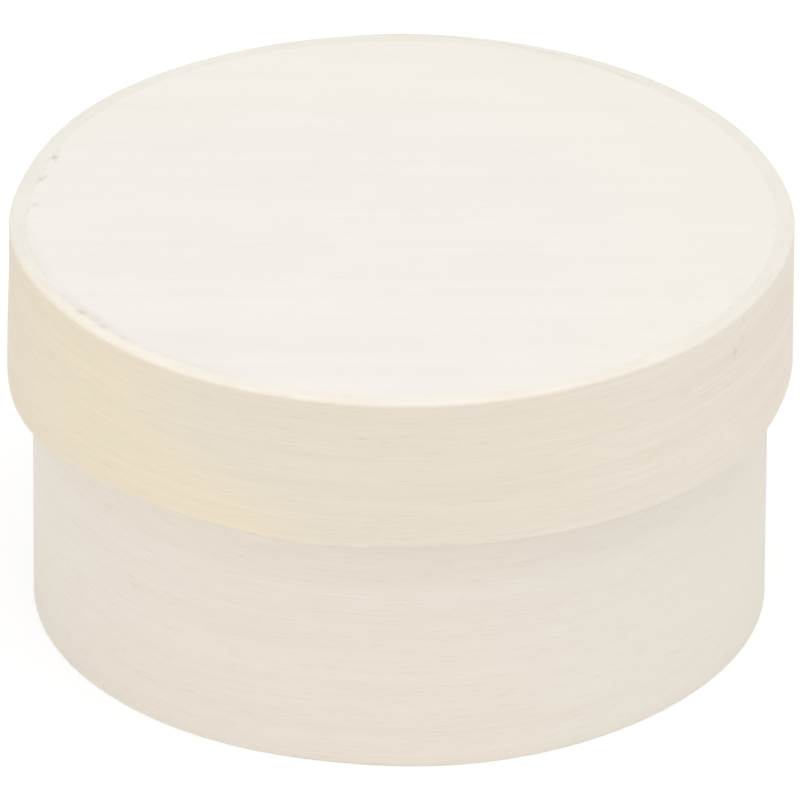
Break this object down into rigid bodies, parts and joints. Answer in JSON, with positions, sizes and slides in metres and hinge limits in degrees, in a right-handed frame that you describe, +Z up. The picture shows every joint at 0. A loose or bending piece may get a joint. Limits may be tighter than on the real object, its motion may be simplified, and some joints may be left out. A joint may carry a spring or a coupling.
{
  "type": "chipwood box",
  "caption": "Round box of pale bent chipwood with an overhanging slip-on lid; each band is lapped and glued into a ring and closed by a flat disc.",
  "frame": {"origin": "centre of the underside of the body", "axes": "+Z up along the axis of the round box; -Y is the front as pictured; both laps are at the back, round +Y"},
  "size_m": [0.08, 0.0803, 0.043],
  "materials": {
    "body_chip": "raw rotary-cut chip, fine grain running round the band",
    "lid_chip": "raw rotary-cut chip, fine grain running round the band, warm streaks",
    "lid_board": "raw sanded thin board, very faint straight grain",
    "bottom_board": "raw sanded thin board, faint straight grain",
    "glue": "hardened wood glue, translucent amber"
  },
  "bodies": {
    "box": {"body_band": "body_chip", "body_lap_glue": "glue", "bottom_disc": "bottom_board", "bottom_glue": "glue"},
    "lid": {"lid_band": "lid_chip", "lid_lap_glue": "glue", "lid_disc": "lid_board", "lid_glue": "glue"}
  },
  "joints": [
    {"name": "lid_lift", "type": "slide", "parent": "box", "child": "lid", "axis": [0, 0, 1], "range_m": [0, 0.045]}
  ]
}
